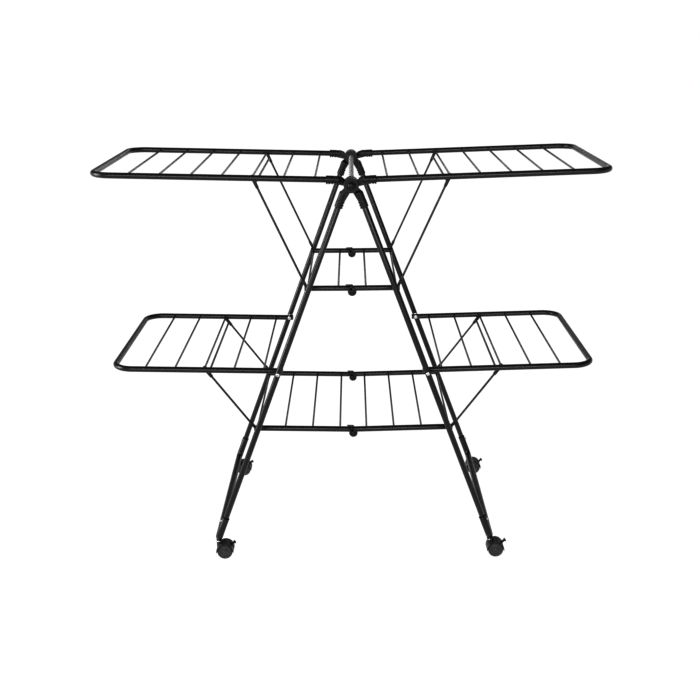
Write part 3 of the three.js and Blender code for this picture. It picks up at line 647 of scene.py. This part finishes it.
def wing(name, lane, height, inner, reach, wires):
    """A bent tube with its cross wires, in the wing's own frame."""
    rails = drawn(
        name + "_rails",
        [(inner, -lane, height), (reach, -lane, height), (reach, lane, height), (inner, lane, height)],
        wing_corner, tube_radius, steps=16,
    )
    soften(rails, 0.4)
    dressed(rails, powder_black)
    first = welded_wire(name + "_wire", wires[0], height, lane - tube_radius + rail_bite)
    dressed(first, wire_black_painted_sheen)
    parts = [rails, first]
    for x in wires[1:]:
        parts.append(placed(first, name + "_wire", Matrix.Translation(((x - wires[0]) * mm, 0, 0))))
    return joined(name, parts)


upper = wing("upper_wing_pattern", wing_lane, wing_rise, mouth_end - socket_depth, wing_reach, upper_wires)
for side, flip in sides.items():
    rack = placed(upper, side + "_upper_wing_rack", flip @ wing_place)
    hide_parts(side + "_upper_wing")
    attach(rack, side + "_upper_wing")
bpy.data.objects.remove(upper)

# Lower wings. The same bent tube, shorter and with five wires. Its rails run just past the rivets
# and are closed with flat plugs.
lower_lane, lower_tilt, lower_reach, lower_stub = 273, math.radians(1.3), 463.6, 12.6
lower_wires = [42.2 + wire_step * index for index in range(5)]
rivet_spot = Matrix.Translation((leg_across(rivet_height) * mm, 0, rivet_height * mm))
lower_place = rivet_spot @ Matrix.Rotation(-lower_tilt, 4, "Y")
lower = wing("lower_wing_pattern", lower_lane, 0, -lower_stub, lower_reach, lower_wires)
for side, flip in sides.items():
    rack = placed(lower, side + "_lower_wing_rack", flip @ lower_place)
    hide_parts(side + "_lower_wing")
    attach(rack, side + "_lower_wing")
bpy.data.objects.remove(lower)

# Struts. A bent wire hangs in two moulded clips on the third wire of each wing, and a moulded shoe on the
# foot of each arm stands on a shelf rod, so the struts hold the wings up.
strut_lane, strut_radius, strut_drop, strut_bend = 258, 3, 18, 10
clip_half, clip_radius, clip_length, clip_neck, neck_waist = 5, 6, 31, 4.6, 20
shoe_half, shoe_length, shoe_foot, shoe_waist, wire_end = 4.8, 27, 3, 20, 9
fitting_taper, mouth_ring = 0.9, 4


def hung_strut(name, run, drop):
    """A strut in its own frame: the wing's wire at the origin, the arms straight down, outwards is +X."""
    length, lean = math.hypot(run, drop), math.atan2(run, drop)
    arm_foot = wire_end - length
    wire = drawn(
        name + "_wire",
        [
            (0, -strut_lane, arm_foot),
            (0, -strut_lane, -strut_drop),
            (0, strut_lane, -strut_drop),
            (0, strut_lane, arm_foot),
        ],
        strut_bend, strut_radius, count=20, steps=10,
    )
    soften(wire, 0)
    dressed(wire, wire_black_painted_sheen)
    fittings = []
    for end in (-1, 1):
        lane = end * strut_lane
        ring = turned(
            "ring",
            [(wire_radius, -clip_half), (clip_radius, -clip_half), (clip_radius, clip_half),
             (wire_radius, clip_half), (wire_radius, -clip_half)],
            edge=0.6, steps=36,
        )
        ring.data.transform(Matrix.Translation((0, lane * mm, 0)))
        neck = block(
            "neck",
            (-clip_neck, lane - clip_half, -clip_length),
            (clip_neck, lane + clip_half, -clip_radius + 1),
        )
        moved(neck, lambda co, normal: co.z < -neck_waist * mm and co.x > 0, (-fitting_taper, 0, 0))
        moved(neck, lambda co, normal: co.z < -neck_waist * mm and co.x < 0, (fitting_taper, 0, 0))
        soften(neck, 1.3, steps=3)
        rim = rod_along("rim", (0, lane, -clip_length - 1.6), (0, lane, -clip_length + 3), mouth_ring, 28)
        soften(rim, 0.8)
        # The shoe's foot is level when the strut leans, and its inner side is undercut for the rod.
        shoe_top = -length + shoe_length
        shoe = block(
            "shoe",
            (-shoe_half, lane - shoe_half, -length + shoe_foot),
            (shoe_half, lane + shoe_half, shoe_top),
        )
        for side, level_x, level_z in ((-1, -2.6, 3.6), (1, 5.4, 4.4)):
            corner_x = level_x * math.cos(lean) - level_z * math.sin(lean)
            corner_z = level_x * math.sin(lean) + level_z * math.cos(lean)
            moved(
                shoe,
                lambda co, normal: co.z < (-length + 2 * shoe_foot) * mm and co.x * side > 3.5 * mm,
                (corner_x - side * shoe_half, 0, corner_z - shoe_foot),
            )
        waist = (-length + shoe_waist) * mm
        moved(shoe, lambda co, normal: co.z > waist and co.x < 0, (fitting_taper, 0, 0))
        moved(shoe, lambda co, normal: co.z > waist and co.x > 0, (-fitting_taper, 0, 0))
        soften(shoe, 0.9, steps=3)
        collar = rod_along("collar", (0, lane, shoe_top - 2), (0, lane, shoe_top + 4), mouth_ring, 28)
        soften(collar, 0.9)
        fittings += [ring, neck, rim, shoe, collar]
    for fitting in fittings:
        dressed(fitting, nylon_black)
    return joined(name, [wire, *fittings])


rod_across = {"upper": 122.250, "lower": 275.658}
strut_tops = {"upper": (263.018, 1105.351), "lower": (416.147, 571.233)}
for level, rod_z in shelf_heights.items():
    rod_x, (top_x, top_z) = rod_across[level], strut_tops[level]
    strut = hung_strut(level + "_strut_pattern", top_x - rod_x, top_z - rod_z)
    lean = math.atan2(top_x - rod_x, top_z - rod_z)
    where = Matrix.Translation((top_x * mm, 0, top_z * mm)) @ Matrix.Rotation(lean, 4, "Y")
    for side, flip in sides.items():
        prop = placed(strut, side + "_" + level + "_strut_wire", flip @ where)
        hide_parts(side + "_" + level + "_strut")
        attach(prop, side + "_" + level + "_strut")
    bpy.data.objects.remove(strut)

# Middle shelves. Each shelf is two halves that meet above the hinges: two tubes on the shelf rod, joined by
# welded wires. The right half's tubes end in flat steel tongues that turn on the hinge pins.
shelf_lane, tube_past_rod, hinge_drop = 243, 9, 8
tongue_half, tongue_radius, tongue_length = 5.4, 5.6, 11
tube_gap = {"left": 8, "right": 1}
shelf_sizes = {
    "upper": {"radius": 7.5, "sag": 0.5, "wires": [38]},
    "lower": {"radius": 8, "sag": 5.8, "wires": [38, 117, 196]},
}


def half_shelf(name, half, radius, tube_end, wires):
    """Half a shelf in its own frame: the rod at the origin, the tubes level towards -X."""
    parts = []
    for end in (-1, 1):
        lane = end * shelf_lane
        tube = drawn(name + "_tube", [(tube_past_rod, lane, 0), (-tube_end, lane, 0)], 0, radius)
        soften(tube, 0.7, steps=3)
        parts.append(dressed(tube, powder_black))
    for reach in wires:
        wire = welded_wire(name + "_wire", reach - half, 0, shelf_lane - radius + rail_bite)
        parts.append(dressed(wire, wire_black_painted_sheen))
    return joined(name, parts)


def shelf_frame(level, sag):
    """A right half shelf's length, place and hinge pin: the rod at the origin, the tubes towards -X."""
    half, slope = math.hypot(rod_across[level], sag), math.atan2(sag, rod_across[level])
    rod_spot = Matrix.Translation((rod_across[level] * mm, 0, shelf_heights[level] * mm))
    pin_reach, pin_drop = half + hinge_drop * math.sin(slope), hinge_drop * math.cos(slope)
    return half, rod_spot @ Matrix.Rotation(-slope, 4, "Y"), pin_reach, pin_drop


for level, size in shelf_sizes.items():
    half, where, pin_reach, pin_drop = shelf_frame(level, size["sag"])
    radius = size["radius"]
    for side, flip in sides.items():
        name = side + "_" + level + "_pattern"
        shelf = half_shelf(name, half, radius, half - tube_gap[side], size["wires"])
        if side == "right":
            tongues = []
            for end in (-1, 1):
                near, far = end * shelf_lane - tongue_half, end * shelf_lane + tongue_half
                tongue = rod_along(
                    "tongue", (-pin_reach, near, -pin_drop), (-pin_reach, far, -pin_drop), tongue_radius, 32
                )
                web = block(
                    "web", (-pin_reach, near, -pin_drop - 5), (-pin_reach + tongue_length, far, -radius + 1)
                )
                outer = (-pin_reach + 5) * mm
                moved(web, lambda co, normal: co.z < -pin_drop * mm and co.x > outer, (0, 0, tongue_radius))
                soften(web, 0.5)
                soften(tongue, 0.5)
                tongues += [dressed(tongue, bright_steel), dressed(web, bright_steel)]
            shelf = joined(shelf.name, [shelf, *tongues])
        rack = placed(shelf, side + "_" + level + "_shelf_rack", flip @ where)
        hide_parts(side + "_" + level + "_shelf")
        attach(rack, side + "_" + level + "_shelf")
        bpy.data.objects.remove(shelf)

# Shelf hinges. A moulded black saddle grips each left tube's end; its two round cheeks hang below the tube
# on both sides of the tongue and carry the pin, whose head shows as a small domed button.
hinge_radius, cheek, saddle_length, flank_waist = 12, 2.4, 18, 9
bump_radius, bump_half, bump_spot, hinge_pin_radius = 4.4, 5, 1.5, 2.5
for level, size in shelf_sizes.items():
    half, where, pin_reach, pin_drop = shelf_frame(level, size["sag"])
    inner, top = size["radius"] + 0.3, size["radius"] + 2.7
    parts = []
    for face in (-1, 1):
        near, far = sorted((face * inner, face * (inner + cheek)))
        from_pin, to_pin = (-pin_reach, near, -pin_drop), (-pin_reach, far, -pin_drop)
        plate = rod_along("cheek", from_pin, to_pin, hinge_radius, 56)
        flank = block("flank", (-pin_reach, near, -4), (-pin_reach + saddle_length, far, top - 2))
        waist = -pin_reach * mm + flank_waist * mm
        moved(flank, lambda co, normal: co.x > waist and co.z > 0, (0, 0, 2 - top))
        moved(flank, lambda co, normal: co.x > waist and co.z < 0, (0, 0, 2))
        soften(plate, 0.9, steps=3)
        soften(flank, 0.8, steps=3)
        knob = turned(
            "knob",
            [(0, 0), (5.2, 0), (5.2, 0.9), (4.6, 1.5), (3.2, 2.0), (1.6, 2.2), (0, 2.2)],
            edge=0.2, steps=32,
        )
        spot = Matrix.Translation((-pin_reach * mm, face * (inner + cheek - 0.2) * mm, -pin_drop * mm))
        knob.data.transform(spot @ (mirror_y if face < 0 else flat))
        if face < 0:
            knob.data.flip_normals()
        parts += [plate, flank, knob]
    outer = inner + cheek
    saddle_end = -pin_reach + saddle_length
    saddle = block("saddle", (-pin_reach + 1, -outer, top - 2.4), (saddle_end, outer, top - 1.7))
    soften(saddle, 0.4, steps=3)
    bump_x, bump_z = -pin_reach + bump_spot, top - bump_radius
    bump = rod_along("bump", (bump_x, -bump_half, bump_z), (bump_x, bump_half, bump_z), bump_radius, 40)
    soften(bump, 0.8, steps=3)
    from_pin, to_pin = (-pin_reach, -outer, -pin_drop), (-pin_reach, outer, -pin_drop)
    pin = rod_along("pin", from_pin, to_pin, hinge_pin_radius, 24)
    hinge = dressed(joined("hinge_pattern", [saddle, bump, pin, *parts]), nylon_black)
    for end, turn in ends.items():
        spot = mirror_x @ where @ turn @ Matrix.Translation((0, shelf_lane * mm, 0))
        knuckle = placed(hinge, level + "_shelf_hinge_" + end + "_knuckle", spot)
        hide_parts(level + "_shelf_hinge_" + end)
        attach(knuckle, "left_" + level + "_shelf")
    bpy.data.objects.remove(hinge)

# Caster stems. A bright zinc-plated pin is screwed into each base tube's boss; its collar shows
# as a light ring between the boss and the caster's hood.
caster_across = leg_across(base_height)
caster_places = {
    (side, end): Matrix.Translation((side_sign * caster_across * mm, end_sign * caster_lane * mm, 0))
    for side, side_sign in (("left", -1), ("right", 1))
    for end, end_sign in (("front", -1), ("rear", 1))
}
stem = turned(
    "stem_pattern",
    [(0, 24), (4, 24), (4, 47.5), (6.4, 47.5), (6.8, 48), (6.8, 49.6), (6.3, 50.1), (6.3, 50.7), (0, 50.7)],
    edge=0.25, steps=40,
)
stem.data.transform(upright)
dressed(stem, bright_steel)
for (side, end), where in caster_places.items():
    pin = placed(stem, side + "_caster_stem_" + end + "_pin", where)
    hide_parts(side + "_caster_stem_" + end)
    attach(pin, side + "_leg_frame")
bpy.data.objects.remove(stem)

# Caster hoods. One black moulding: a round cover over both wheels, a web between them that holds the axle,
# a boss for the stem, and two small ears for the brake pedal in a slot at the back.
trail, wheel_radius = 17, 22
hood_inner, hood_outer, hood_half = 23.2, 25, 20.6
hood_from, hood_to = math.radians(-6), math.radians(188)
pedal_angle, pedal_pivot = math.radians(40), 18.4
slot_angle, slot_half, slot_reach, slot_floor = math.radians(30), 4.7, 11.5, 12
web_half, web_low, hood_boss_radius, ear_radius, ear_outer = 4.5, 7, 7.5, 4.2, 7.5


def cut(shape, place, facing):
    """A copy of the part of a closed shape on the facing side of a plane, closed again."""
    part = placed(shape, shape.name + "_part", flat)
    bpy.ops.object.mode_set(mode="EDIT")
    bpy.ops.mesh.select_all(action="SELECT")
    bpy.ops.mesh.bisect(plane_co=place, plane_no=facing, use_fill=True, clear_inner=True)
    close_up(part)
    return part


caster_black = new_finish(
    "caster_black", (0.014, 0.014, 0.0142), (0.022, 0.0217, 0.0214), rough=(0.34, 0.44), size=1700,
    patches=60, depth=0.05,
)
cover = block(
    "cover", (trail + hood_inner, -hood_half, wheel_radius), (trail + hood_outer, hood_half, wheel_radius + 1)
)
choose(cover, lambda co, normal: normal.z < 0.9)
bpy.ops.mesh.delete(type="ONLY_FACE")
choose(cover, lambda co, normal: co.z < (wheel_radius + 0.5) * mm, "VERT")
bpy.ops.mesh.delete(type="VERT")
bpy.ops.object.mode_set(mode="OBJECT")
axle_spot = Matrix.Translation((trail * mm, 0, wheel_radius * mm))
to_axle = Matrix.Translation((-trail * mm, 0, -(wheel_radius + 1) * mm))
cover.data.transform(axle_spot @ Matrix.Rotation(-hood_from, 4, "Y") @ to_axle)
choose(cover, lambda co, normal: True)
bpy.ops.mesh.spin(steps=40, angle=hood_to - hood_from, center=axle_spot.translation, axis=(0, 1, 0))
close_up(cover)
web_radius = (hood_inner + hood_outer) / 2
web = rod_along("web", (trail, -web_half, wheel_radius), (trail, web_half, wheel_radius), web_radius, 80)
half_web = cut(web, (0, 0, (wheel_radius - web_low) * mm), (0, 0, 1))
boss = rod_along("boss", (0, 0, 17), (0, 0, 47), hood_boss_radius, 40)
pivot_x = trail + pedal_pivot * math.cos(pedal_angle)
pivot_z = wheel_radius + pedal_pivot * math.sin(pedal_angle)
# The slot for the pedal is what the overlapping parts round it leave open.
slot_turn = Matrix.Rotation(-slot_angle, 3, "Y")
inwards, across = slot_turn @ Vector((-1, 0, 0)), slot_turn @ Vector((0, 0, 1))
beside = Vector((0, 1, 0))
round_slot = [
    (axle_spot.translation - inwards * slot_floor * mm, inwards),
    (axle_spot.translation + across * slot_reach * mm, across),
    (axle_spot.translation - across * slot_reach * mm, -across),
]
shell = [cut(half_web, place, facing) for place, facing in round_slot]
round_slot += [(beside * slot_half * mm, beside), (-beside * slot_half * mm, -beside)]
shell += [cut(cover, place, facing) for place, facing in round_slot]
for whole in (web, half_web, cover):
    bpy.data.objects.remove(whole)
ears = []
for face in (-1, 1):
    near, far = sorted((face * slot_half, face * ear_outer))
    ears.append(rod_along("ear", (pivot_x, near, pivot_z), (pivot_x, far, pivot_z), ear_radius, 32))
    arm = block("ear_arm", (pedal_pivot, near, -ear_radius), (hood_inner + 1, far, ear_radius))
    arm.data.transform(axle_spot @ Matrix.Rotation(-pedal_angle, 4, "Y"))
    ears.append(arm)
hood = dressed(fused("hood_pattern", [*shell, boss, *ears], 0.5, 3), caster_black)
for (side, end), where in caster_places.items():
    shell = placed(hood, side + "_caster_hood_" + end + "_shell", where)
    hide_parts(side + "_caster_hood_" + end)
    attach(shell, side + "_" + end + "_swivel")
bpy.data.objects.remove(hood)

# Caster wheels. Two moulded wheels share one axle: a crowned dark tread round a black core, whose face has
# a groove inside the rim, three curved pockets and a raised hub.
wheel_rubber = new_finish(
    "wheel_rubber", (0.026, 0.026, 0.0262), (0.038, 0.0375, 0.037), rough=(0.5, 0.65), size=1500, patches=90,
    depth=0.06,
)
wheel_core = new_finish(
    "wheel_core", (0.036, 0.036, 0.0362), (0.05, 0.0495, 0.049), rough=(0.42, 0.55), size=1600, patches=70,
    depth=0.05,
)
core_edge, pocket_inner, pocket_outer, pocket_span, pocket_rim, pocket_depth = 17.9, 10, 14, 78, 1.5, 1.1
half_wheel = [
    (3, 0), (3, 8), (18.6, 8), (20.6, 8.5), (21.7, 9.8), (22, 11.6), (22, 16.4), (21.7, 18.2), (20.7, 19.5),
    (19.1, 20), (18.1, 20), (17.5, 19.1), (16.3, 18.7), (15.5, 19.5), (8.2, 19.5), (7.5, 18.8), (6.4, 18.8),
    (5.8, 19.7), (4.8, 20), (0, 20),
]
wheel = turned("wheel_pattern", half_wheel, edge=0.2, steps=72)
for start_angle in (0, 120, 240):
    choose(
        wheel,
        lambda co, normal: normal.y > 0.9 and pocket_inner * mm < math.hypot(co.x, co.z) < pocket_outer * mm
        and (math.degrees(math.atan2(co.z, co.x)) - start_angle) % 360 < pocket_span,
    )
    bpy.ops.mesh.inset(thickness=pocket_rim * mm, depth=0)
    bpy.ops.mesh.extrude_region_move(TRANSFORM_OT_translate={"value": (0, -pocket_depth * mm, 0)})
wheel.data.materials.append(wheel_core)
wheel.data.materials.append(wheel_rubber)
choose(wheel, lambda co, normal: math.hypot(co.x, co.z) > core_edge * mm)
wheel.active_material_index = 1
bpy.ops.object.material_slot_assign()
bpy.ops.object.mode_set(mode="OBJECT")
soften(wheel, 0)
other = placed(wheel, "other_wheel", mirror_y)
wheel = joined("wheel_pattern", [wheel, other])
close_up(wheel)
soften(wheel, 0)
wheel.data.transform(axle_spot)
for (side, end), where in caster_places.items():
    pair = placed(wheel, side + "_caster_wheels_" + end + "_pair", where)
    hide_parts(side + "_caster_wheels_" + end)
    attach(pair, side + "_" + end + "_wheels")
bpy.data.objects.remove(wheel)

# Brake pedals. A short moulded lever with a turned-up, ribbed toe turns on two trunnions
# in the ears of the hood.
pedal_heel, pedal_tip, pedal_half, pedal_thick, toe_start = 14.2, 38.5, 4.4, 2.6, 33.4
lever = block("lever", (pedal_heel, -pedal_half, -pedal_thick), (pedal_tip, pedal_half, pedal_thick))
moved(lever, lambda co, normal: co.x > 30 * mm and co.z > 0, (0, 0, -1))
moved(lever, lambda co, normal: co.x > 30 * mm and co.z < 0, (0, 0, 1.3))
soften(lever, 0.7, steps=3)
toe = block("toe", (toe_start, -pedal_half, -4), (pedal_tip, pedal_half, 4.2))
moved(toe, lambda co, normal: co.x < 35 * mm and abs(co.z) > 2 * mm, (1.4, 0, 0))
soften(toe, 0.8, steps=3)
ribs = []
for run in (29.5, 31.3, 33.1):
    rib = block("rib", (run - 0.45, -3.6, 1), (run + 0.45, 3.6, 2.5))
    soften(rib, 0.25)
    ribs.append(rib)
trunnion = rod_along("trunnion", (pedal_pivot, -7.2, 0), (pedal_pivot, 7.2, 0), 2, 24)
soften(trunnion, 0.2)
pedal = dressed(joined("pedal_pattern", [lever, toe, trunnion, *ribs]), nylon_black)
pedal.data.transform(axle_spot @ Matrix.Rotation(-pedal_angle, 4, "Y"))
for (side, end), where in caster_places.items():
    tab = placed(pedal, side + "_brake_pedal_" + end + "_lever", where)
    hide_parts(side + "_brake_pedal_" + end)
    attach(tab, side + "_" + end + "_pedal")
bpy.data.objects.remove(pedal)

# Stage. A plain white floor runs out to a white band round the horizon, and above it the studio is dim,
# so the black coats stay deep. Soft lamps in front, at the left and behind the airer draw the reflections.
clear()
bpy.ops.mesh.primitive_plane_add(size=160, location=(0, 20, 0))
floor = bpy.context.object
floor.name = "floor"
bpy.ops.object.transform_apply(location=True, rotation=True, scale=True)
pale = bpy.data.materials.new("pale_floor")
pale.use_nodes = True
shade = pale.node_tree.nodes["Principled BSDF"].inputs
shade["Base Color"].default_value = (0.05, 0.05, 0.05, 1)
shade["Roughness"].default_value = 0.9
shade["Specular IOR Level"].default_value = 0
shade["Emission Color"].default_value = (1, 1, 1, 1)
shade["Emission Strength"].default_value = 1
dressed(floor, pale)
surround = bpy.data.worlds.new("surround")
bpy.context.scene.world = surround
surround.use_nodes = True
nodes, links = surround.node_tree.nodes, surround.node_tree.links
way = nodes.new("ShaderNodeTexCoord")
parts_of_way = nodes.new("ShaderNodeSeparateXYZ")
height_glow = nodes.new("ShaderNodeMapRange")
for label, value in (("From Min", 0.04), ("From Max", 0.2), ("To Min", 1.03), ("To Max", 0.22)):
    height_glow.inputs[label].default_value = value
links.new(way.outputs["Generated"], parts_of_way.inputs["Vector"])
links.new(parts_of_way.outputs["Z"], height_glow.inputs["Value"])
links.new(height_glow.outputs["Result"], nodes["Background"].inputs["Strength"])
nodes["Background"].inputs["Color"].default_value = (1, 1, 1, 1)
aim = Vector((0, 0, 0.8))
for name, spot, width, height, power in (
    ("front_lamp", (-0.4, -5.6, 2.4), 4.5, 1.7, 240),
    ("left_lamp", (-4.4, -0.8, 1.7), 2, 2.8, 230),
    ("back_lamp", (0.6, 8, 2.1), 3.4, 2, 25),
):
    clear()
    bpy.ops.object.light_add(type="AREA", location=spot)
    lamp = bpy.context.object
    lamp.name = name
    lamp.data.shape = "RECTANGLE"
    lamp.data.size, lamp.data.size_y, lamp.data.energy = width, height, power
    lamp.rotation_euler = (aim - Vector(spot)).to_track_quat("-Z", "Y").to_euler()
view = bpy.context.scene.view_settings
view.view_transform = "Standard"
view.gamma = 0.68

# Camera. It stands about three metres in front, a little above the upper wings, tipped down.
camera_pitch, camera_roll, camera_yaw = 0.3084, -0.0095, -0.0032
camera_spot = (1.5, -3052.8, 1511.6)
clear()
bpy.ops.object.camera_add()
camera = bpy.context.object
camera.name = "camera"
camera.data.sensor_width = 36
camera.data.lens = 54
forward = Vector((
    math.sin(camera_yaw) * math.cos(camera_pitch),
    math.cos(camera_yaw) * math.cos(camera_pitch),
    -math.sin(camera_pitch),
))
level_right = Vector((math.cos(camera_yaw), -math.sin(camera_yaw), 0))
level_up = level_right.cross(forward)
right = level_right * math.cos(camera_roll) + level_up * math.sin(camera_roll)
up = level_up * math.cos(camera_roll) - level_right * math.sin(camera_roll)
turn = Matrix((right, up, -forward)).transposed().to_4x4()
camera.matrix_world = Matrix.Translation(Vector(camera_spot) * mm) @ turn
bpy.context.scene.camera = camera
